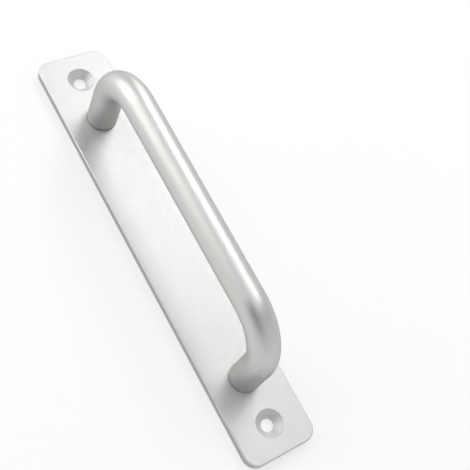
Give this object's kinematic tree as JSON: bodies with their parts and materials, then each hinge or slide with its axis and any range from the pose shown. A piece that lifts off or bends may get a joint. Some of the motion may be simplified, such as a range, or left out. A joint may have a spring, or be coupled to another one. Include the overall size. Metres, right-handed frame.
{
  "type": "adhesive sliding door handle",
  "caption": "Round bar pull with two bends on a flat plate with rounded corners, countersunk screw holes and a foam adhesive pad behind, for sliding doors, drawers and windows.",
  "frame": {"origin": "middle of the foam pad's adhesive face, which goes against the door; the handle lies on its back", "axes": "+X along the handle, +Y across the plate, +Z away from the door, from the plate to the grip"},
  "size_m": [0.18, 0.03, 0.0442],
  "materials": {
    "plate_aluminium": "fine matte silver, blasted and anodised",
    "grip_aluminium": "satin silver, blasted and anodised",
    "screw_steel": "bright zinc plated",
    "foam_tape": "white closed-cell foam with a clear adhesive on its outer face"
  },
  "bodies": {
    "root": {"back_plate": "plate_aluminium", "grip": "grip_aluminium", "grip_screws": "screw_steel", "adhesive_pad": "foam_tape"}
  },
  "joints": []
}
